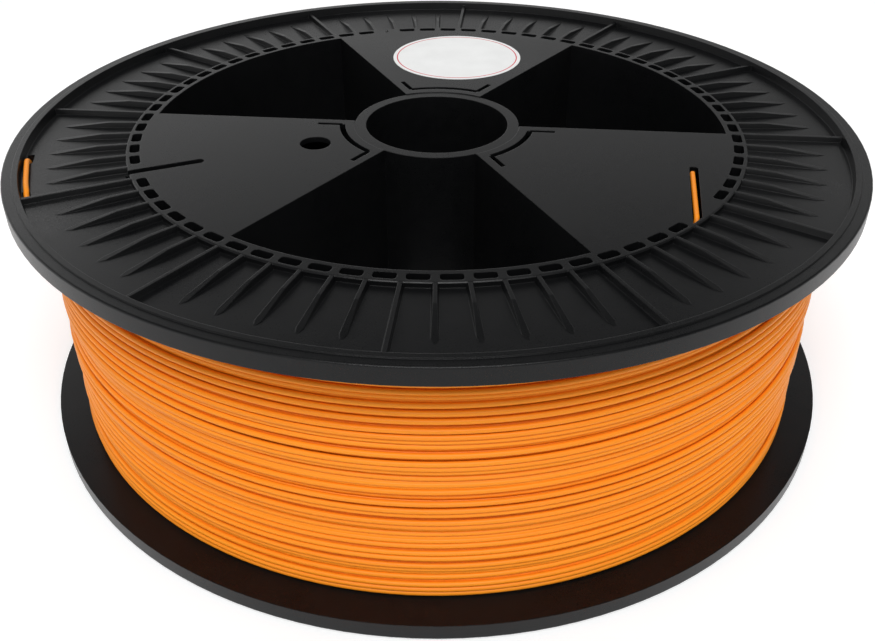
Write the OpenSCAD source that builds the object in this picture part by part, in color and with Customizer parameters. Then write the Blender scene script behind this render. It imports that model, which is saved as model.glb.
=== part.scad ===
// Large two-part filament spool with its strand, lying flat on its lower rim.
// The spool's axis is +Z and the origin is on the axis, level with the lower rim.
// Both halves are the same moulding: the lower one is the upper one turned over about its third web.

/* [Spool] */
// Outer diameter of both flanges
flange_d = 300; // [290:1:310]
// Width over both rims
width = 101; // [90:0.5:120]
// Direction of the first web, from +X
turn = 84.8; // [0:0.1:119.9]

/* [Rim] */
// Height from the flange's inner face to the top of the rim
rim_h = 6.2; // [5:0.1:9]
// Thickness of the flange plate
plate_t = 3.1; // [2:0.1:4]
// Radial width of the rim's lip, at its top
lip_w = 5.3; // [4:0.1:7]
// Radial run of the lip's drafted inner wall
lip_run = 0.5; // [0.2:0.1:2]
// Radial width of the raised crown on the lip's inner edge
crown_w = 2; // [1:0.1:2.8]
// Height of the crown over the outer part of the lip
crown_rise = 0.4; // [0.2:0.05:1]
// Rounding of the rim's outer top edge
rim_round = 0.6; // [0.3:0.1:1.2]
// Drop from the rim's top to the webs and the ring of slots
deck_drop = 1.25; // [0.5:0.05:2]

/* [Barrel] */
// Outer diameter of the barrel that carries the winding
barrel_d = 220.8; // [200:0.2:230]
// Thickness of the barrel's outer wall
barrel_wall = 1.3; // [1:0.05:2]
// Thickness of the barrel's inner wall
inner_wall = 1.5; // [1:0.05:2.5]
// Cells, slots and ribs around the barrel
cell_count = 72; // [48:12:96]
// Width of a slot, which is also the clear space between the barrel's walls
slot_w = 3.45; // [2.5:0.05:4]
// Length of a slot
slot_l = 6.9; // [3:0.1:7.2]
// Corner radius of a slot
slot_round = 1.1; // [0.5:0.1:1.2]
// Chamfer of the ring's outer edge
ring_chamfer = 0.35; // [0.1:0.05:0.6]

/* [Flange ribs] */
// Thickness of the ribs at their foot
rib_t = 2.2; // [1.4:0.1:3]
// Thickness of the ribs at their top, which is less for the draft
rib_top_t = 1.2; // [0.8:0.1:1.4]
// One rib in this many runs out to the rim
long_rib_every = 6; // [3:1:12]
// Length of a short rib at full height
rib_flat = 10; // [4:0.5:12]
// Length of its slope down to the flange
rib_slope = 16.4; // [8:0.1:18]
// Length of its pointed nose
rib_nose = 3.4; // [1:0.1:6]

/* [Webs] */
// Angle between the radial lines beside a web
web_angle = 60; // [45:1:75]
// Inset of a web's edges from those radial lines
web_inset = 0.9; // [0.2:0.1:2]
// Thickness of the web plates
web_t = 2; // [1.5:0.1:3]
// Thickness of the walls under a web's edges
web_wall = 2; // [1.5:0.1:2.5]

/* [Hub] */
// Diameter of the bore
bore_d = 51.9; // [50.5:0.1:53]
// Wall of the hub tube
hub_wall = 4; // [3:0.1:5]
// Drop from the webs to the end face of the hub tube
hub_drop = 0.25; // [0.1:0.05:1]
// Diameter of the drive hole
drive_d = 10.9; // [10:0.1:11]
// Distance of the drive hole from the axis
drive_r = 46.4; // [44:0.1:48]
// Angle from the second web's middle back to the drive hole
drive_turn = 1.4; // [-5:0.1:5]

/* [Spring tongues] */
// Distance from the hub tube to the cut round a tongue's free end
tongue_gap = 3.45; // [2:0.05:5]
// Radial width of the cut round a tongue's free end
tongue_cut = 2.1; // [1.5:0.1:3]
// Width of the cuts along a tongue's sides
side_cut = 1.8; // [1:0.1:2]
// Distance from a web's edge to the middle of a side cut
side_inset = 3.85; // [3.2:0.05:5]
// Length of a side cut past the tongue's free end
side_l = 9; // [5:0.5:14]

/* [Pegs] */
// Diameter of the pegs that align the halves
peg_d = 6; // [4:0.2:8]
// Length of a peg past the joint
peg_l = 6; // [4:0.5:8]
// Wall round a peg's socket
peg_wall = 2; // [1.5:0.1:3]
// Angle from a web's middle to its peg and to its socket
peg_turn = 12; // [8:1:16]
// Clearance round a peg
peg_gap = 0.15; // [0.1:0.05:0.3]

/* [Strand slits] */
// Width of the radial slit in the second web
radial_w = 3.3; // [2:0.1:4]
// Length of the radial slit
radial_l = 25.1; // [16:0.1:30]
// Angle from the second web's middle back to the radial slit
radial_turn = 2.5; // [0.5:0.5:6]
// Width of the narrow slit in the ring
narrow_w = 1.4; // [1:0.1:2]
// Length of the narrow slit outside the barrel
narrow_l = 2.2; // [1:0.1:4]
// Angle from the first web's middle to the narrow slit
narrow_turn = 17.5; // [8:0.5:24]
// Length of the slanted slit in the third web
slant_l = 38.2; // [32:0.1:45]
// Angle from the third web's middle back to the slanted slit's outer end
slant_turn = 8.3; // [6:0.1:12]
// Angle between the slanted slit and the radius through its outer end
slant_lean = 56.9; // [45:0.1:62]
// Clearance on each side of the strand in the slanted slit
slant_gap = 0.62; // [0.1:0.02:0.8]

/* [Filament] */
// Diameter of the strand
wire_d = 1.75; // [1.5:0.05:3]
// Depth of the winding on the barrel
wound_h = 29.1; // [8:0.1:29.5]
// Loops in the outer layer
loops = 24; // [12:1:24]
// Clearance round the strand and the winding
fit_gap = 0.3; // [0.2:0.05:0.4]
// Distance of the start hole's middle from the flange's inner face
start_drop = 2.8; // [2.2:0.1:4]
// Length of the strand inside the winding's start hole
start_l = 5; // [3:0.5:10]
// Distance between the ends of the slanted slit and of the strand in it
start_tip = 1.8; // [1.2:0.1:5]
// How far the strand's end lies out of the middle of the slanted slit
start_aside = 0.35; // [0:0.05:0.4]
// Angle from the first web's middle to the hole where the strand comes out
exit_turn = 106.4; // [102:0.1:110]
// Angle between the two holes of the free end
exit_span = 11.6; // [10:0.1:12]
// Distance from the lip's foot to the middle of these holes
exit_inset = 1.5; // [1.3:0.1:3]
// Length of these holes
exit_hole_l = 7.2; // [6:0.1:7.4]

/* [Label] */
// Diameter of the blank round label
label_d = 54; // [30:1:60]
// Thickness of the label
label_t = 0.15; // [0.1:0.05:0.5]
// Distance of the label's middle from the axis
label_r = 71.2; // [60:0.1:75]
// Angle from the first web's middle back to the label's middle
label_turn = 1.65; // [-5:0.05:5]

/* [Hidden] */
$fn = 128;
cut = 1;          // how far a cutting solid runs past the face that it cuts
hair = 0.3;       // step that keeps two faces from lying in one plane
black = [0.2, 0.2, 0.21];
orange = [1, 0.5, 0.13];
white = [0.92, 0.92, 0.9];

// Levels of one half, measured from the joint between the halves
half_w = width / 2;
plate_z = half_w - rim_h;          // the flange's inner face
floor_z = plate_z + plate_t;       // the flange's outer face
deck_z = half_w - deck_drop;       // webs and ring of slots
lip_z = half_w - crown_rise;       // the lip outside its crown
hub_z = deck_z - hub_drop;         // end face of the hub tube
start_z = plate_z - start_drop;    // middle of the start hole
slit_z = start_z - wire_d / 2 - fit_gap;

// Radii
rim_r = flange_d / 2;
lip_r = rim_r - lip_w;
foot_r = lip_r - lip_run;          // where the lip's inner wall meets the flange
crown_r = lip_r + crown_w;         // outer edge of the crown
barrel_r = barrel_d / 2;
cell_out_r = barrel_r - barrel_wall;
cell_in_r = cell_out_r - slot_w;
ring_r = cell_in_r - inner_wall;   // inner face of the drum
bore_r = bore_d / 2;
hub_r = bore_r + hub_wall;
web_in_r = hub_r + hair;           // the webs' faces start just outside the hub tube
peg_r = (hub_r + ring_r) / 2;

// Webs, cells and slits
web_count = 3;
web_step = 360 / web_count;
turned_web = 2;                    // the lower half is turned over about the web this many steps on
window_angle = web_step - web_angle;
cell_step = 360 / cell_count;
radial_cell = cell_at(web_step - radial_turn);
narrow_cell = cell_at(narrow_turn);
slant_angle = 2 * web_step - slant_turn;
slant_w = wire_d + 2 * slant_gap;
closed_cells = [narrow_cell, radial_cell, cell_at(slant_angle), cell_at(slant_angle) + 1];

// Flange ribs: their roots are sunk into the barrel's wall and the flange plate
rib_drop = 0.05;                   // the rib tops lie a hair below the ring of slots
rib_root_r = barrel_r - barrel_wall / 2;
rib_root_z = floor_z - plate_t / 2;
rib_z = deck_z - rib_drop;
rib_flat_r = barrel_r + rib_flat;
rib_end_r = rib_flat_r + rib_slope;
long_rib_r = lip_r + crown_w / 2;

// Winding
wire_r = wire_d / 2;
wire_hole = wire_d + 2 * fit_gap;
turn_r = barrel_r + wound_h - wire_r;
loop_rings = 24;
layer_half = plate_z - fit_gap - wire_r;
pitch = 2 * layer_half / loops;
core_in_r = barrel_r + fit_gap;
core_out_r = turn_r * cos(180 / loop_rings) - wire_r - fit_gap;
core_half = plate_z - fit_gap;

// First end of the outer layer, which comes out of the core beside the lower flange
lead_bend = 5;
lead_r = turn_r - lead_bend;
lead_before = 14.7;                // angle from the layer's first and last points to the exit hole
lead_angle = exit_turn - lead_before;

// Free end: up through one long hole beside the lip, along the flange and down the other hole
exit_r = foot_r - exit_inset;
exit_z = plate_z + plate_t / 2;
exit_past = 0.2;
exit_climb = plate_t / 2 + exit_past;    // from the plate's middle to just past its faces
side_play = 0.25;                  // how far the strand lies out of the middle of its holes
lying_z = floor_z + wire_r + fit_gap / 4;
// Angle from the first hole, radius and height of each point
free_route = [
    [-8.5, turn_r + 1.1, layer_half],
    [-4.5, turn_r + 2.8, layer_half],
    [-1.6, exit_r + side_play, layer_half + 0.1],
    [-0.8, exit_r + side_play, exit_z - exit_climb],
    [0, exit_r + side_play, exit_z],
    [0.8, exit_r + side_play, exit_z + exit_climb],
    [1.5, exit_r + side_play, lying_z + 0.1],
    [3, exit_r, lying_z + 0.3],
    [5.2, exit_r - side_play, lying_z + 0.3],
    [8, exit_r - side_play, lying_z + 0.2],
    [exit_span - 1.6, exit_r - side_play, lying_z + 0.2],
    [exit_span - 0.7, exit_r - side_play, lying_z],
    [exit_span, exit_r, exit_z + exit_climb],
    [exit_span + 0.4, exit_r, exit_z],
    [exit_span + 0.8, exit_r, exit_z - exit_climb],
    [exit_span + 1.3, exit_r, exit_z - 2 * exit_climb]
];

// Start of the strand: it lies in the slanted slit, dives and passes through the barrel's wall
start_run = (barrel_wall + fit_gap) / cos(slant_lean) + start_l;
dive_l = 4.5;                      // length over which it dives
dive_count = 6;
slit_lying_z = deck_z - fit_gap - wire_r;

function cell_at(a) = floor(a / cell_step);
function cell_angle(k) = (k + 0.5) * cell_step;
function polar(r, a, z) = [r * cos(a), r * sin(a), z];

// ---------- A strand swept along a list of points ----------

function unit(v) = v / norm(v);
function heading(path, i) = unit(path[min(i + 1, len(path) - 1)] - path[max(i - 1, 0)]);
function side_of(path, i) = unit(cross(heading(path, i), [0, 0, 1]));
function wire_ring(path, i, sides) =
    let (side = side_of(path, i), up = cross(side, heading(path, i)))
    [for (a = [0:360 / sides:359]) path[i] + wire_r * (cos(a) * side + sin(a) * up)];

module strand(path, sides) {
    last = len(path) - 1;
    points = [for (i = [0:last]) each wire_ring(path, i, sides)];
    walls = [for (i = [0:last - 1], k = [0:sides - 1])
        let (a = i * sides + k, b = i * sides + (k + 1) % sides)
        each [[a, a + sides, b], [b, a + sides, b + sides]]];
    first_end = [for (k = [1:sides - 2]) [0, k, k + 1]];
    last_end = [for (k = [1:sides - 2]) [last * sides, last * sides + k + 1, last * sides + k]];
    polyhedron(points, concat(walls, first_end, last_end));
}

// Least distance between the strand's surfaces, at points that lie at least half a loop apart
function least_gap(path) =
    let (last = len(path) - 1, far = loop_rings / 2)
    min([for (i = [0:last], j = [i + far:1:last]) norm(path[i] - path[j])]) - wire_d;

// ---------- One moulded half, with its joint at height 0 and its first web on +X ----------

// Half section through the hub, the drum, the flange and its rim
function section() = concat(
    [[bore_r, 0], [barrel_r, 0], [barrel_r, plate_z], [rim_r, plate_z]],
    [for (a = [0:15:90]) [rim_r - rim_round * (1 - cos(a)), lip_z - rim_round * (1 - sin(a))]],
    [[crown_r, lip_z], [crown_r - crown_rise / 4, half_w], [lip_r, half_w], [foot_r, floor_z]],
    [[barrel_r, floor_z], [barrel_r, deck_z - ring_chamfer], [barrel_r - ring_chamfer, deck_z]],
    [[web_in_r, deck_z], [web_in_r, hub_z], [bore_r, hub_z]]
);

// The space between hub and drum within an angle, whose straight sides are moved in by inset
module sector(angle, inset, top) {
    reach = 2 * ring_r;
    intersection() {
        difference() {
            translate([0, 0, -cut]) cylinder(r = ring_r, h = top + cut);
            translate([0, 0, -2 * cut]) cylinder(r = hub_r, h = top + 3 * cut);
        }
        translate([inset / sin(angle / 2), 0, -2 * cut])
            linear_extrude(top + 3 * cut)
                polygon([[0, 0], [reach, -reach * tan(angle / 2)], [reach, reach * tan(angle / 2)]]);
    }
}

// Three windows run right through, and the three webs are hollow behind their plates
module windows_and_hollows() {
    for (k = [0:web_count - 1]) {
        rotate((k + 0.5) * web_step) sector(window_angle, -web_inset, deck_z + cut);
        rotate(k * web_step) sector(web_angle, web_inset + web_wall, deck_z - web_t);
    }
}

function rounded_outline(x, y, r) =
    [for (c = [[1, 1, 0], [-1, 1, 90], [-1, -1, 180], [1, -1, 270]], a = [0:30:90])
        [c[0] * (x / 2 - r) + r * cos(c[2] + a), c[1] * (y / 2 - r) + r * sin(c[2] + a)]];

// Cells between the drum's two walls: open at the joint, and open as slots at the top but for a few
module cells() {
    for (k = [0:cell_count - 1]) {
        closed = len(search(k, closed_cells)) > 0;
        rotate(cell_angle(k)) translate([(cell_in_r + cell_out_r) / 2, 0, -cut])
            linear_extrude(cut + (closed ? deck_z - web_t : deck_z + cut))
                polygon(rounded_outline(slot_w, slot_l, slot_round));
    }
}

// A rib's bar from the barrel's wall out to radius r, drafted on both sides
module rib_bar(r) {
    half_top = rib_top_t / 2;
    draft = (rib_t - rib_top_t) / 2 / (rib_z - floor_z);
    half_root = half_top + draft * (rib_z - rib_root_z);
    translate([rib_root_r, 0, 0]) rotate([90, 0, 90]) linear_extrude(r - rib_root_r)
        polygon([[-half_root, rib_root_z], [half_root, rib_root_z], [half_top, rib_z], [-half_top, rib_z]]);
}

// Point of a short rib's slope in the plane of radius and height: t is 0 at its top and 1 at the flange
function slope_point(t) = [rib_flat_r + rib_slope * t, rib_z - (rib_z - floor_z) * t];

module short_rib() {
    above = slope_point(-0.5);
    below = slope_point(1.5);
    inside_r = rib_root_r - cut;
    inside_z = rib_root_z - cut;
    tip_r = rib_end_r + rib_nose / 4;
    half_tip = rib_top_t / 20;
    half_wide = half_tip + (rib_t / 2 - half_tip) * (tip_r - inside_r) / rib_nose;
    intersection() {
        rib_bar(tip_r);
        rotate([90, 0, 0]) linear_extrude(2 * rib_t, center = true)
            polygon([above, below, [below[0], inside_z], [inside_r, inside_z], [inside_r, above[1]]]);
        translate([0, 0, inside_z]) linear_extrude(rib_z - rib_root_z + 2 * cut)
            polygon([[inside_r, -half_wide], [tip_r, -half_tip], [tip_r, half_tip], [inside_r, half_wide]]);
    }
}

module flange_ribs() {
    for (k = [0:cell_count - 1]) rotate(k * cell_step) {
        if (k % long_rib_every == 0) rib_bar(long_rib_r);
        else short_rib();
    }
}

// Pegs on one side of each web and sockets on the other, so that two like halves plug together
module peg_posts() {
    post_h = deck_z - web_t / 2;
    for (k = [0:web_count - 1]) {
        rotate(k * web_step + peg_turn) translate([peg_r, 0, -peg_l]) cylinder(d = peg_d, h = peg_l + post_h);
        rotate(k * web_step - peg_turn) translate([peg_r, 0, 0])
            cylinder(d = peg_d + 2 * (peg_gap + peg_wall), h = post_h);
    }
}

module peg_sockets() {
    for (k = [0:web_count - 1])
        rotate(k * web_step - peg_turn) translate([peg_r, 0, -cut])
            cylinder(d = peg_d + 2 * peg_gap, h = cut + peg_l + peg_wall);
}

// Cuts that free a springy tongue in each web, with its loose end towards the hub tube
module tongue_cuts() {
    tongue_r = hub_r + tongue_gap;
    middle_r = tongue_r + tongue_cut / 2;
    line = web_inset + side_inset;
    half_span = web_angle / 2 - asin(line / middle_r);
    depth = web_t + 2 * cut;
    for (k = [0:web_count - 1]) rotate(k * web_step) translate([0, 0, deck_z - web_t - cut]) {
        rotate(-half_span) rotate_extrude(angle = 2 * half_span)
            translate([tongue_r, 0]) square([tongue_cut, depth]);
        for (side = [-1, 1])
            rotate(side * web_angle / 2)
                translate([sqrt(middle_r * middle_r - line * line), -side * line - side_cut / 2, 0])
                    cube([side_l, side_cut, depth]);
    }
}

// A straight slit inwards from radius r, with a round inner end; it also runs back past r by extra
module slit(r, angle, lean, length, w, extra) {
    rotate(angle) translate([r, 0, slit_z]) rotate(180 - lean) {
        translate([-extra, -w / 2, 0]) cube([extra + length - w / 2, w, half_w]);
        translate([length - w / 2, 0, 0]) cylinder(d = w, h = half_w);
    }
}

module slits() {
    slit(barrel_r, cell_angle(radial_cell), 0, radial_l, radial_w, cut);
    slit(barrel_r, cell_angle(narrow_cell), 0, barrel_wall + slot_w, narrow_w, narrow_l);
    intersection() {
        slit(cell_out_r, slant_angle, slant_lean, slant_l, slant_w, slant_w);
        cylinder(r = cell_out_r, h = half_w + cut);
    }
}

// Way through the barrel's wall, and a little into the winding, for the start of the strand
module start_hole() {
    rotate(slant_angle) translate([cell_out_r, 0, start_z]) rotate(180 - slant_lean)
        translate([-start_run - fit_gap, 0, 0]) rotate([0, 90, 0])
            cylinder(d = wire_hole, h = start_run + fit_gap + wire_r);
}

// Two long holes through the flange beside the lip, for the free end of the strand
module exit_holes() {
    for (angle = [exit_turn, exit_turn + exit_span])
        rotate(angle) translate([exit_r, 0, plate_z - cut])
            linear_extrude(plate_t + 2 * cut)
                polygon(rounded_outline(wire_hole, exit_hole_l, wire_r));
}

module spool_half() {
    difference() {
        union() {
            difference() {
                rotate_extrude() polygon(section());
                windows_and_hollows();
                cells();
            }
            flange_ribs();
            peg_posts();
        }
        peg_sockets();
        tongue_cuts();
        translate(polar(drive_r, web_step - drive_turn, deck_z - web_t - cut))
            cylinder(d = drive_d, h = web_t + 2 * cut);
        slits();
        start_hole();
        exit_holes();
    }
}

// ---------- The pieces in their places ----------

module in_place() {
    translate([0, 0, half_w]) rotate(turn) children();
}

module upper_half() {
    color(black) in_place() spool_half();
}

module lower_half() {
    color(black) in_place() rotate(2 * turned_web * web_step) rotate([180, 0, 0]) spool_half();
}

// Inner layers of the winding, plain, with a pocket where the outer layer's strand comes out
module filament_core() {
    color(orange) in_place() difference() {
        rotate_extrude() translate([core_in_r, -core_half]) square([core_out_r - core_in_r, 2 * core_half]);
        rotate(lead_angle) translate([lead_r - wire_d - fit_gap, -wire_hole / 2, -core_half - cut])
            cube([turn_r - lead_r + wire_d, lead_bend + wire_r, cut + wire_hole]);
        start_hole();
    }
}

// The outer layer, one strand from its lead out of the core to its free end
function lead_in() =
    let (out = polar(1, lead_angle, 0), along = polar(1, lead_angle + 90, 0), foot = [0, 0, -layer_half])
    concat(
        [foot + (lead_r - wire_d) * out],
        [for (a = [0:30:90]) foot + (lead_r + lead_bend * sin(a)) * out + lead_bend * (1 - cos(a)) * along]
    );
function outer_layer() =
    [for (i = [1:loops * loop_rings])
        polar(turn_r, lead_angle + 360 * i / loop_rings, pitch * i / loop_rings - layer_half)];
function free_end() = [for (p = free_route) polar(p[1], exit_turn + p[0], p[2])];

module filament_turns() {
    path = concat(lead_in(), outer_layer(), free_end());
    echo(least_gap_between_turns_mm = least_gap(path));
    color(orange) in_place() strand(path, 6);
}

// Point of the strand's start, at a distance inwards along the slanted slit and to its side
function slit_point(s, aside, z) =
    polar(cell_out_r, slant_angle, z) + polar(s, slant_angle + 180 - slant_lean, 0)
    + polar(aside, slant_angle + 270 - slant_lean, 0);

module filament_start() {
    drop = slit_lying_z - start_z;
    tip_s = slant_l - start_tip - wire_r;
    path = concat(
        [for (t = [1, 0.5]) slit_point(tip_s * t, start_aside * t, slit_lying_z)],
        [for (i = [0:dive_count])
            let (t = i / dive_count, s = dive_l * (1 - t))
            slit_point(s, start_aside * s / tip_s, slit_lying_z - drop * t * t * (3 - 2 * t))],
        [slit_point(-start_run, 0, start_z)]
    );
    color(orange) in_place() strand(path, 8);
}

module label() {
    color(white) in_place() translate(polar(label_r, -label_turn, deck_z)) cylinder(d = label_d, h = label_t);
}

upper_half();
lower_half();
filament_core();
filament_turns();
filament_start();
label();
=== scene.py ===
"""Looks for the large filament spool: black moulded halves, an orange winding and a blank round label."""
import math

import bpy
import numpy as np
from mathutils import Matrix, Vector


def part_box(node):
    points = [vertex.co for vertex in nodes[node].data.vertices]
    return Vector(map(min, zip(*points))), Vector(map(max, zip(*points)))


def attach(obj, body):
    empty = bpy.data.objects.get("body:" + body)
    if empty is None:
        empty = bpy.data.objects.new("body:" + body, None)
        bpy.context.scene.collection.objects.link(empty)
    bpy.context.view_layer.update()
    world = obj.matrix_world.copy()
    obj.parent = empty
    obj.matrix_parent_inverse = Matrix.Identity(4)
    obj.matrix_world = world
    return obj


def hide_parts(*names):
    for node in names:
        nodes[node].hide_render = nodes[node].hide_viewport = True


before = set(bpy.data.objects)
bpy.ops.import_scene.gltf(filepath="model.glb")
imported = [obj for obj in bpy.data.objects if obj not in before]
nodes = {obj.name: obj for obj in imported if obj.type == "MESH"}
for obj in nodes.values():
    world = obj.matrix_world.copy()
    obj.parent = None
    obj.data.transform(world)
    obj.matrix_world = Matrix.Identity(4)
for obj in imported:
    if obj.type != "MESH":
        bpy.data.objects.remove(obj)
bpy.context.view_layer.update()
MM = 0.001

# ---------------------------------------------------------------- the CAD's sizes, in mm and degrees

WIRE = 1.75                       # diameter of the strand
WIRE_R = WIRE / 2
TURN_R = 138.625                  # middle of the outer layer's strand
Z_LOW, Z_HIGH = 7.375, 93.625     # middle of its first and last turns
LEAD_ANGLE = 176.5                # where the outer layer comes out of the inner ones
CORE_IN_R, CORE_OUT_R = 110.7, 135.9
CORE_LOW, CORE_HIGH = 6.5, 94.5

EXIT_ANGLE = 191.2                # first hole of the free end
EXIT_SPAN = 11.6                  # from there to the second hole
EXIT_R = 142.7
SIDE_PLAY = 0.25                  # how far the strand lies out of the middle of its holes
LYING_Z = 98.85                   # middle of the free end where it lies on the flange
PLATE_Z = 96.35                   # middle of the flange's plate
CLIMB = 1.75                      # from there to just past its faces
RUN_OUT = 8.5                     # from the end of the turns to the first hole
LIFT = 1.1                        # how far the turns' end lies outside the layer

SLIT_ANGLE = 316.5                # outer end of the slanted slit
SLIT_R = 109.1
SLIT_LEAN = 56.9                  # between the slit and the radius there
SLIT_Z = 98.575                   # middle of the strand in the slit
TIP_S = 35.525                    # distance of the strand's end inwards along the slit
TIP_ASIDE = 0.35                  # how far that end lies out of the slit's middle
DIVE_L = 4.5                      # length over which the strand dives
START_Z = 92.0                    # middle of the hole in the barrel's wall
START_WALL = 1.6                  # that wall, with the clearance round it
START_L = 5                       # length of the strand inside it

# ---------------------------------------------------------------- helpers for nodes of materials


def add(tree, kind, inputs=None, **settings):
    """A node with its inputs set, or linked where a value is a socket."""
    node = tree.nodes.new(kind)
    for key, value in settings.items():
        setattr(node, key, value)
    for key, value in (inputs or {}).items():
        socket = node.inputs[key]
        if isinstance(value, bpy.types.NodeSocket):
            tree.links.new(value, socket)
        else:
            socket.default_value = value
    return node


def new_material(name):
    material = bpy.data.materials.new(name)
    material.use_nodes = True
    material.node_tree.nodes.clear()
    return material, material.node_tree


def noise(tree, vector, scale, detail, rough=0.5):
    inputs = {"Vector": vector, "Scale": scale, "Detail": detail, "Roughness": rough}
    return add(tree, "ShaderNodeTexNoise", inputs).outputs["Fac"]


def ramp(tree, factor, low, high, out_low=0.0, out_high=1.0):
    """Maps the factor's range from low to high onto out_low to out_high, and no further."""
    inputs = {"Value": factor, "From Min": low, "From Max": high, "To Min": out_low, "To Max": out_high}
    return add(tree, "ShaderNodeMapRange", inputs).outputs["Result"]


def mix_colour(tree, factor, a, b):
    return add(tree, "ShaderNodeMix", {0: factor, 6: a, 7: b}, data_type="RGBA").outputs[2]


def maths(tree, operation, a, b=0.0):
    return add(tree, "ShaderNodeMath", {0: a, 1: b}, operation=operation).outputs[0]


def stretched(tree, vector, scale):
    return add(tree, "ShaderNodeMapping", {"Vector": vector, "Scale": scale}).outputs["Vector"]


def light_path(tree):
    """1 on rays from the camera, and 1 on mirrored and refracted rays."""
    rays = add(tree, "ShaderNodeLightPath").outputs
    return rays["Is Camera Ray"], maths(tree, "MAXIMUM", rays["Is Glossy Ray"], rays["Is Transmission Ray"])


# ---------------------------------------------------------------- helpers for shapes, in mm


def ease(t):
    """Runs from 0 to 1 with a soft start and end."""
    return t * t * (3 - 2 * t)


def polar(radius, degrees, z):
    """Points at a radius, an angle and a height."""
    a = np.radians(degrees)
    return np.stack(np.broadcast_arrays(radius * np.cos(a), radius * np.sin(a), z), -1)


def pairs(u, v):
    """A list of map points from a column of one value and a row of the other."""
    return np.stack(np.broadcast_arrays(u, v), -1).reshape(-1, 2)


def ring_quads(index):
    """Quads between each row of vertex numbers and the next one, where every row is a closed ring."""
    a, b = index[:-1], index[1:]
    return np.stack([a, np.roll(a, -1, 1), np.roll(b, -1, 1), b], -1).reshape(-1, 4).tolist()


def joined(first, second):
    """Two sets of vertices, faces and map as one."""
    shift = len(first[0])
    faces = first[1] + [[i + shift for i in face] for face in second[1]]
    return np.vstack([first[0], second[0]]), faces, np.vstack([first[2], second[2]])


FREE_STEP = 0.4                   # between the points of the strand's two loose ends


def through(points):
    """A smooth curve through the points, in steps of about FREE_STEP."""
    p = np.asarray(points, float)
    p = np.vstack([2 * p[0] - p[1], p, 2 * p[-1] - p[-2]])
    out = []
    for i in range(1, len(p) - 2):
        count = max(2, int(np.ceil(np.linalg.norm(p[i + 1] - p[i]) / FREE_STEP)))
        u = np.arange(count)[:, None] / count
        out.append(0.5 * (
            2 * p[i] + (p[i + 1] - p[i - 1]) * u
            + (2 * p[i - 1] - 5 * p[i] + 4 * p[i + 1] - p[i + 2]) * u ** 2
            + (3 * p[i] - p[i - 1] - 3 * p[i + 1] + p[i + 2]) * u ** 3))
    return np.vstack(out + [p[-2:-1]])


# rounding of a strand's cut end, in two rings: how far past the end, and the share of the radius
CUT_PAST = np.array([0.42, 0.30])
CUT_SHARE = np.array([0.55, 0.82])


def strand(path, sides):
    """Vertices, faces and a map (length in mm, way round) of a round strand with slightly rounded ends."""
    along = np.gradient(path, axis=0)
    along /= np.linalg.norm(along, axis=1)[:, None]
    side = np.empty_like(path)
    side[0] = np.cross(along[0], (0.0, 0.0, 1.0))
    side[0] /= np.linalg.norm(side[0])
    for i in range(1, len(path)):
        carried = side[i - 1] - along[i] * side[i - 1].dot(along[i])
        side[i] = carried / math.sqrt(carried.dot(carried))
    up = np.cross(side, along)
    reach = np.concatenate([[0.0], np.cumsum(np.linalg.norm(np.diff(path, axis=0), axis=1))])

    first = path[0] - along[0] * CUT_PAST[:, None]
    last = path[-1] + along[-1] * CUT_PAST[::-1, None]
    centres = np.vstack([first, path, last])
    extra = len(CUT_PAST)
    side, up = (np.pad(v, ((extra, extra), (0, 0)), "edge") for v in (side, up))
    reach = np.pad(reach, extra, "edge")
    radii = WIRE_R * np.concatenate([CUT_SHARE, np.ones(len(path)), CUT_SHARE[::-1]])

    angles = np.arange(sides) * 2 * np.pi / sides
    spokes = np.cos(angles)[:, None] * side[:, None] + np.sin(angles)[:, None] * up[:, None]
    rings = centres[:, None] + radii[:, None, None] * spokes
    index = np.arange(len(centres) * sides).reshape(-1, sides)
    faces = ring_quads(index) + [index[0, ::-1].tolist(), index[-1].tolist()]
    # the way round counts back on the far half of the ring, so that the map doesn't jump
    way = 1 - np.abs(angles / np.pi - 1)
    return rings.reshape(-1, 3), faces, pairs(reach[:, None], way)


# ---------------------------------------------------------------- helpers for objects


def new_object(name, data):
    piece = bpy.data.objects.new(name, data)
    bpy.context.scene.collection.objects.link(piece)
    return piece


def new_piece(name, vertices, faces, material):
    """A piece from vertices in mm."""
    mesh = bpy.data.meshes.new(name)
    mesh.from_pydata((np.asarray(vertices) * MM).tolist(), [], faces)
    mesh.materials.append(material)
    return new_object(name, mesh)


def filament_piece(name, vertices, faces, uv):
    """A smooth piece of filament with its map."""
    piece = new_piece(name, vertices, faces, orange)
    mesh = piece.data
    corners = np.empty(len(mesh.loops), np.int64)
    mesh.loops.foreach_get("vertex_index", corners)
    layer = mesh.uv_layers.new(name="Strand")
    layer.data.foreach_set("uv", uv[corners].astype(np.float32).ravel())
    mesh.polygons.foreach_set("use_smooth", [True] * len(mesh.polygons))
    mesh.update()
    return piece


# ---------------------------------------------------------------- camera

LOOK_DOWN = 0.580153              # radians below the horizon

# its place, lens and shift were fitted to the photograph
camera = new_object("Camera", bpy.data.cameras.new("Camera"))
camera.location = (0.00026, -0.338548, 0.243046)
camera.rotation_euler = (math.pi / 2 - LOOK_DOWN, 0, 0)
camera.data.sensor_width = 36
camera.data.lens = 40.594
camera.data.shift_y = -0.02146
bpy.context.scene.camera = camera

# ---------------------------------------------------------------- materials


def finish_material(tree, shader):
    out = add(tree, "ShaderNodeOutputMaterial")
    tree.links.new(shader.outputs[0], out.inputs["Surface"])


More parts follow.
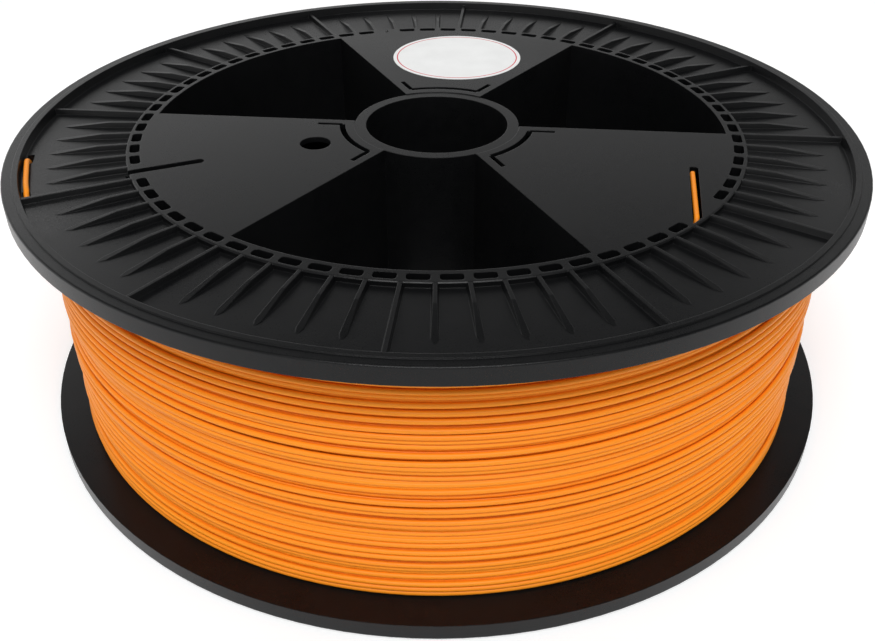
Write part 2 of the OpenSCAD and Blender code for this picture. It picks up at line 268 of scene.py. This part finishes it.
def plastic():
    """Black moulded plastic, satin, with a very fine grain, faint flow marks and softened edges."""
    material, tree = new_material("spool_plastic")
    place = add(tree, "ShaderNodeTexCoord").outputs["Object"]
    broad = noise(tree, place, 28, 3)
    grain = noise(tree, place, 2600, 2, 0.6)
    flow = noise(tree, place, 260, 4, 0.6)

    deep = (0.0034, 0.0036, 0.0040, 1)
    middling = (0.0052, 0.0054, 0.0058, 1)
    pale = (0.0075, 0.0076, 0.0079, 1)
    colour = mix_colour(tree, ramp(tree, broad, 0.3, 0.7), deep, middling)
    colour = mix_colour(tree, ramp(tree, flow, 0.35, 0.75, 0.0, 0.5), colour, pale)

    broad_rough = ramp(tree, broad, 0.25, 0.75, 0.27, 0.33)
    grain_rough = ramp(tree, grain, 0.3, 0.7, -0.03, 0.05)
    edges = add(tree, "ShaderNodeBevel", {"Radius": 0.35 * MM}, samples=6).outputs["Normal"]
    height = maths(tree, "ADD", grain, maths(tree, "MULTIPLY", flow, 0.6))
    bump_inputs = {"Strength": 0.22, "Distance": 0.06 * MM, "Height": height, "Normal": edges}
    bump = add(tree, "ShaderNodeBump", bump_inputs)
    finish_material(tree, add(tree, "ShaderNodeBsdfPrincipled", {
        "Base Color": colour, "Roughness": maths(tree, "ADD", broad_rough, grain_rough),
        "Normal": bump.outputs["Normal"], "IOR": 1.5, "Specular IOR Level": 0.22,
    }))
    return material


def filament():
    """Orange extruded filament: smooth and half glossy, with faint streaks along the strand."""
    material, tree = new_material("filament")
    strand_map = add(tree, "ShaderNodeUVMap", uv_map="Strand").outputs["UV"]
    streaks = noise(tree, stretched(tree, strand_map, (0.05, 7.0, 1.0)), 1.0, 3, 0.6)
    slow = noise(tree, stretched(tree, strand_map, (0.006, 0.4, 1.0)), 1.0, 2)
    fine = noise(tree, add(tree, "ShaderNodeTexCoord").outputs["Object"], 1500, 2)

    deep = (0.97, 0.270, 0.008, 1)
    warm = (1.0, 0.325, 0.012, 1)
    pale = (1.0, 0.34, 0.035, 1)
    colour = mix_colour(tree, ramp(tree, slow, 0.3, 0.7), deep, warm)
    colour = mix_colour(tree, ramp(tree, streaks, 0.35, 0.75, 0.0, 0.35), colour, pale)

    streak_rough = ramp(tree, streaks, 0.3, 0.7, 0.36, 0.46)
    fine_rough = ramp(tree, fine, 0.3, 0.7, -0.02, 0.03)
    height = maths(tree, "ADD", streaks, maths(tree, "MULTIPLY", fine, 0.3))
    bump = add(tree, "ShaderNodeBump", {"Strength": 0.15, "Distance": 0.1 * MM, "Height": height})
    finish_material(tree, add(tree, "ShaderNodeBsdfPrincipled", {
        "Base Color": colour, "Roughness": maths(tree, "ADD", streak_rough, fine_rough),
        "Normal": bump.outputs["Normal"], "IOR": 1.46, "Specular IOR Level": 0.3,
    }))
    return material


RING_R = 25.3 * MM                # middle of the label's printed ring
RING_FULL, RING_NONE = 0.18 * MM, 0.3 * MM    # off that middle: full ink up to here, none from here on


def label_paper():
    """White paper with fine fibres and one thin printed ring near its edge, and nothing else on it."""
    material, tree = new_material("label_paper")
    place = add(tree, "ShaderNodeTexCoord").outputs["Object"]
    low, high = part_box("label")
    middle = (low + high) / 2
    flat = add(tree, "ShaderNodeVectorMath", {0: place, 1: (middle.x, middle.y, 0.0)}, operation="SUBTRACT")
    flat = add(tree, "ShaderNodeVectorMath", {0: flat.outputs[0], 1: (1.0, 1.0, 0.0)}, operation="MULTIPLY")
    radius = add(tree, "ShaderNodeVectorMath", {0: flat.outputs[0]}, operation="LENGTH").outputs["Value"]
    off = maths(tree, "ABSOLUTE", maths(tree, "SUBTRACT", radius, RING_R))
    ring = ramp(tree, off, RING_FULL, RING_NONE, 1.0, 0.0)

    fibres = noise(tree, place, 1800, 4, 0.7)
    cloud = noise(tree, place, 90, 3)
    paper = mix_colour(tree, ramp(tree, cloud, 0.3, 0.7), (0.86, 0.86, 0.85, 1), (0.92, 0.92, 0.91, 1))
    paper = mix_colour(tree, ramp(tree, fibres, 0.55, 0.8, 0.0, 0.25), paper, (0.74, 0.74, 0.72, 1))
    ink = mix_colour(tree, ramp(tree, fibres, 0.3, 0.7), (0.62, 0.035, 0.06, 1), (0.74, 0.075, 0.10, 1))
    bump = add(tree, "ShaderNodeBump", {"Strength": 0.25, "Distance": 0.03 * MM, "Height": fibres})
    finish_material(tree, add(tree, "ShaderNodeBsdfPrincipled", {
        "Base Color": mix_colour(tree, ring, paper, ink),
        "Roughness": ramp(tree, fibres, 0.3, 0.7, 0.48, 0.6),
        "Normal": bump.outputs["Normal"], "Specular IOR Level": 0.4,
    }))
    return material


black = plastic()
orange = filament()
white = label_paper()

for name, material in (("upper_half", black), ("lower_half", black), ("label", white)):
    slots = nodes[name].data.materials
    slots.clear()
    slots.append(material)

# ---------------------------------------------------------------- outer layer of the winding

SAMPLES = 160                     # points to a turn
FRONT = 270 - LEAD_ANGLE          # from the layer's first point round to the front
# heights of the grooves at the front, and half the width that each keeps clear
GROOVES = (
    (12.1, 0.10), (15.1, 0.32), (20.3, 0.30), (25.6, 0.42), (29.8, 0.05), (33.0, 0.40),
    (38.4, 0.25), (42.8, 0.40), (45.9, 0.62), (49.6, 0.15), (51.6, 0.45), (54.1, 0.42),
    (60.3, 0.10), (63.7, 0.18), (69.7, 0.12), (71.9, 0.40), (75.6, 0.25), (77.3, 0.25),
    (80.3, 0.22), (82.2, 0.20), (84.6, 0.18), (89.0, 0.20),
)
TIGHT, LOOSE = 0.05, 0.02         # how far touching turns may press together, or lie apart
NEARLY = 0.14                     # the part of one more turn that may be missing where it still goes in

SINK = 1.9                        # how deep the strand sinks where it does, at most
SHALLOW = 0.3                     # how deep it wanders everywhere
SWAY = 0.07                       # how far it wanders up and down
LEAST_STEP = 0.55 * WIRE          # between turns of which one has sunk
OVERLAP = 0.02                    # by which touching turns may run into each other
PASSES = 24                       # of pushing turns apart
PUSH = 0.4                        # share of what is missing that each of two turns moves in a pass
SMOOTH = 0.2                      # share of a kink that a pass takes out
RISE = 3.0                        # how far inside the layer the first turn starts

BARREL = 0.12                     # how far the winding stands out
TOP_FROM, TOP_TO, TOP_IN = 58, 94, 0.95       # heights between which it draws in, and how far
FOOT_FROM, FOOT_TO, FOOT_IN = 30, 6, 0.1

rng = np.random.default_rng(11)


def wander(count, knot, low, high):
    """A smooth random run of values between low and high, with a fresh value every knot samples."""
    marks = rng.uniform(low, high, count // knot + 4)
    u = np.arange(count) / knot
    i = u.astype(int)
    f = ease(u - i)
    return marks[i] * (1 - f) + marks[i + 1] * f


def front_heights():
    """Heights of the turns at the front: groups of touching turns with a groove between the groups."""
    heights = []
    edges = [(Z_LOW - WIRE_R, 0.0)] + list(GROOVES) + [(Z_HIGH + WIRE_R, 0.0)]
    for (low, low_clear), (high, high_clear) in zip(edges, edges[1:]):
        bottom, top = low + low_clear, high - high_clear
        turns = max(1, int((top - bottom) / (WIRE - TIGHT) + NEARLY))
        step = min((top - bottom) / turns, WIRE + LOOSE)
        if heights:
            bottom += (top - bottom - step * turns) / 2
        heights += [bottom + (k + 0.5) * step for k in range(turns)]
    return np.array(heights)


def bulge(z):
    """How far the winding stands out at a height: slightly barrelled, and drawn in towards the flanges."""
    top = np.clip((z - TOP_FROM) / (TOP_TO - TOP_FROM), 0, 1)
    foot = np.clip((z - FOOT_FROM) / (FOOT_TO - FOOT_FROM), 0, 1)
    return BARREL - TOP_IN * ease(top) - FOOT_IN * foot ** 2


def push_apart(z, depth):
    """Moves turns that run into each other apart a little at a time, and keeps each one smooth."""
    gap = depth[SAMPLES:] - depth[:-SAMPLES]
    need = np.sqrt(np.maximum(WIRE ** 2 - gap ** 2, LEAST_STEP ** 2)) - OVERLAP
    for _ in range(PASSES):
        push = np.maximum(need - (z[SAMPLES:] - z[:-SAMPLES]), 0) * PUSH
        z[SAMPLES:] += push
        z[:-SAMPLES] -= push
        z[1:-1] += SMOOTH * (z[:-2] - 2 * z[1:-1] + z[2:])
        np.clip(z, Z_LOW, Z_HIGH, out=z)


def outer_turns():
    """Middle line of the outer layer: turns that touch, sink between their neighbours or leave gaps."""
    front = front_heights()
    turns = len(front)
    past_lead = round((EXIT_ANGLE - RUN_OUT - LEAD_ANGLE) / 360 * SAMPLES)
    count = turns * SAMPLES + past_lead + 1
    point = np.arange(count)
    turn = point / SAMPLES - FRONT / 360
    z = np.interp(turn, np.arange(turns), front) + wander(count, 70, -SWAY, SWAY)

    # the strand sinks in places, and every other turn does where turns lie closer than their width
    close = np.interp(turn, np.arange(turns - 1) + 0.5, np.maximum(WIRE - np.diff(front), 0))
    every_other = np.where(point // SAMPLES % 2, 1.0, 0.25)
    places = wander(count, 190, 0, 1)
    depth = wander(count, 50, 0, SHALLOW) + SINK * np.clip(2 * places - 1, 0, 1) ** 1.1
    depth += SINK * np.sqrt(close) * wander(count, 150, 0.1, 0.9) * every_other
    push_apart(z, depth)
    radius = TURN_R + bulge(z) - depth

    # the first eighth of a turn rises out of the inner layers, and the last ninth runs out to the free end
    begun = np.clip(point / (SAMPLES / 8), 0, 1)
    radius -= RISE * (1 - begun) ** 2
    ended = np.clip((point - count + 1 + SAMPLES / 9) / (SAMPLES / 9), 0, 1)
    radius = radius * (1 - ended) + (TURN_R + LIFT) * ended
    z = z * (1 - ended) + Z_HIGH * ended
    return polar(radius, LEAD_ANGLE + point * 360 / SAMPLES, z)


def free_end():
    """The free end: up through a hole beside the lip, along the flange and down through another."""
    outer, inner = EXIT_R + SIDE_PLAY, EXIT_R - SIDE_PLAY
    route = [                     # angle past the first hole, radius and height
        (-RUN_OUT, TURN_R + LIFT, Z_HIGH),
        (-4.5, TURN_R + 2.8, Z_HIGH),
        (-1.6, outer, Z_HIGH + 0.1),
        (-0.8, outer, PLATE_Z - CLIMB),
        (0, outer, PLATE_Z),
        (0.8, outer, PLATE_Z + CLIMB),
        (1.5, outer, LYING_Z + 0.1),
        (3, EXIT_R, LYING_Z + 0.3),
        (5.2, inner, LYING_Z + 0.3),
        (8, inner, LYING_Z + 0.2),
        (EXIT_SPAN - 1.6, inner, LYING_Z + 0.2),
        (EXIT_SPAN - 0.7, inner, LYING_Z),
        (EXIT_SPAN, EXIT_R, PLATE_Z + CLIMB),
        (EXIT_SPAN + 0.4, EXIT_R, PLATE_Z),
        (EXIT_SPAN + 0.8, EXIT_R, PLATE_Z - CLIMB),
        (EXIT_SPAN + 1.3, EXIT_R, PLATE_Z - 2 * CLIMB),
    ]
    return through([polar(r, EXIT_ANGLE + a, z) for a, r, z in route])


# the free end's first two points lie in the last of the turns
winding = filament_piece("winding_outer_turns", *strand(np.vstack([outer_turns(), free_end()[2:]]), 10))
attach(winding, "root")
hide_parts("filament_turns")

# ---------------------------------------------------------------- inner layers of the winding

BELOW_TURNS, BELOW_SAMPLES = 48, 96
BELOW = 1.72                      # how far the next layer lies inside the outer one
BODY_SAMPLES = 128                # points round the inner body
CHAMFER = 1                       # of the body's edges
WALL_IN = 0.6                     # how far its outer wall lies inside the CAD's
MAP_STEP, MAP_WIDTH = 6.0, 40     # its map: length from point to point, and way round the section


def layer_below():
    """Middle line of the layer under the outer one, which shows between the outer turns."""
    point = np.arange(BELOW_TURNS * BELOW_SAMPLES + 1)
    z = Z_HIGH - (Z_HIGH - Z_LOW) * (point / point[-1])
    return polar(TURN_R - BELOW + bulge(z), point * 360 / BELOW_SAMPLES, z)


def inner_body():
    """Vertices, faces and map of the layers inside that, whose turns show as beads at both flanges."""
    section = [(CORE_IN_R, CORE_LOW + CHAMFER), (CORE_IN_R + CHAMFER, CORE_LOW)]
    for k in range(int((CORE_OUT_R - CORE_IN_R - 2 * CHAMFER) / WIRE)):
        bead_r = CORE_IN_R + CHAMFER + WIRE * (k + 0.5)
        for a in np.radians((150, 90, 30)):
            section.append((bead_r + WIRE_R * np.cos(a), CORE_LOW + WIRE_R * (1 - np.sin(a))))
    section.append((CORE_OUT_R - WALL_IN, CORE_LOW + CHAMFER))
    section += [(r, CORE_LOW + CORE_HIGH - z) for r, z in reversed(section)]

    point = np.arange(BODY_SAMPLES)
    rings = np.array([polar(r, point * 360 / BODY_SAMPLES, z) for r, z in section])
    index = np.arange(len(section) * BODY_SAMPLES).reshape(-1, BODY_SAMPLES)
    uv = pairs(point * MAP_STEP, np.linspace(0, MAP_WIDTH, len(section))[:, None])
    return rings.reshape(-1, 3), ring_quads(np.vstack([index, index[:1]])), uv


inner = filament_piece("winding_inner_layers", *joined(strand(layer_below(), 6), inner_body()))
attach(inner, "root")
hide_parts("filament_core")

# ---------------------------------------------------------------- start of the strand


def slit_point(s, z, aside=0.0):
    """Point of the start, at a distance inwards along the slanted slit and to its side."""
    inwards = polar(s, SLIT_ANGLE + 180 - SLIT_LEAN, 0)
    sideways = polar(aside, SLIT_ANGLE + 270 - SLIT_LEAN, 0)
    return polar(SLIT_R, SLIT_ANGLE, z) + inwards + sideways


def strand_start():
    """The start lies in the slanted slit, dives and passes through the barrel's wall."""
    run = START_WALL / math.cos(math.radians(SLIT_LEAN)) + START_L
    route = [slit_point(TIP_S * t, SLIT_Z, TIP_ASIDE * t) for t in (1, 0.8, 0.6, 0.4, 0.2)]
    for t in np.linspace(0, 1, 7):
        s = DIVE_L * (1 - t)
        route.append(slit_point(s, SLIT_Z - (SLIT_Z - START_Z) * ease(t), TIP_ASIDE * s / TIP_S))
    route += [slit_point(-run / 2, START_Z), slit_point(-run, START_Z)]
    return through(route)


start = filament_piece("strand_start", *strand(strand_start(), 16))
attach(start, "root")
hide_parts("filament_start")

# ---------------------------------------------------------------- floor and world


def floor_white():
    """Pale floor that keeps the object's shadow, and looks nearly white to the camera and in reflections."""
    material, tree = new_material("floor_white")
    place = add(tree, "ShaderNodeTexCoord").outputs["Object"]
    tone = ramp(tree, noise(tree, place, 6, 2), 0.3, 0.7, 0.79, 0.81)
    plain = add(tree, "ShaderNodeBsdfDiffuse", {"Color": tone})
    glow = add(tree, "ShaderNodeEmission", {"Color": (1, 1, 1, 1), "Strength": 0.36})
    glowing = add(tree, "ShaderNodeAddShader", {0: plain.outputs[0], 1: glow.outputs[0]})
    camera_ray, mirror_ray = light_path(tree)
    seen = maths(tree, "MAXIMUM", camera_ray, mirror_ray)
    both = {0: seen, 1: plain.outputs[0], 2: glowing.outputs[0]}
    finish_material(tree, add(tree, "ShaderNodeMixShader", both))
    return material


FLOOR = 4000                      # half the floor's side
corners = [(-FLOOR, -FLOOR, 0), (FLOOR, -FLOOR, 0), (FLOOR, FLOOR, 0), (-FLOOR, FLOOR, 0)]
floor = new_piece("floor", corners, [(0, 1, 2, 3)], floor_white())


def background(tree, colour, strength):
    return add(tree, "ShaderNodeBackground", {"Color": colour, "Strength": strength}).outputs[0]


def light_world():
    """Soft light all round, a white backdrop, and what glossy and clear surfaces mirror of it."""
    world = bpy.data.worlds.new("World")
    bpy.context.scene.world = world
    world.use_nodes = True
    tree = world.node_tree
    tree.nodes.clear()
    # white near the horizon, dimmer overhead and to the right
    toward = add(tree, "ShaderNodeSeparateXYZ", {0: add(tree, "ShaderNodeTexCoord").outputs["Generated"]})
    by_height = ramp(tree, toward.outputs["Z"], 0.2, 0.62, 0.95, 0.1)
    by_side = ramp(tree, toward.outputs["X"], -0.5, 0.5, 1.3, 0.5)
    mirrored = background(tree, (1, 1, 1, 1), maths(tree, "MULTIPLY", by_height, by_side))
    soft = background(tree, (0.98, 0.99, 1.0, 1), 0.46)
    white_sky = background(tree, (1, 1, 1, 1), 1.0)
    camera_ray, mirror_ray = light_path(tree)
    sky = add(tree, "ShaderNodeMixShader", {0: mirror_ray, 1: soft, 2: mirrored}).outputs[0]
    sky = add(tree, "ShaderNodeMixShader", {0: camera_ray, 1: sky, 2: white_sky}).outputs[0]
    add(tree, "ShaderNodeOutputWorld", {"Surface": sky})


light_world()

# ---------------------------------------------------------------- lamps, in m and W


def lamp(name, place, target, size, power):
    """A rectangular lamp that shines at the target."""
    data = bpy.data.lights.new(name, "AREA")
    data.shape = "RECTANGLE"
    data.size, data.size_y = size
    data.energy = power
    x, y, z = np.subtract(target, place)
    piece = new_object(name, data)
    piece.location = place
    piece.rotation_euler = (math.atan2(math.hypot(x, y), -z), 0, math.atan2(-x, y))


lamp("lamp_top", place=(-0.1, 0.15, 1.9), target=(0, 0, 0.05), size=(1.0, 0.8), power=3)
lamp("lamp_front", place=(0.0, -1.25, 1.85), target=(0, 0, 0.04), size=(1.5, 0.7), power=28)
lamp("lamp_left", place=(-0.9, 1.5, 1.07), target=(0, 0, 0.1), size=(0.22, 0.34), power=0.35)
lamp("lamp_right", place=(0.9, 1.5, 1.07), target=(0, 0, 0.1), size=(0.2, 0.3), power=0.22)

bpy.context.scene.view_settings.view_transform = "Standard"
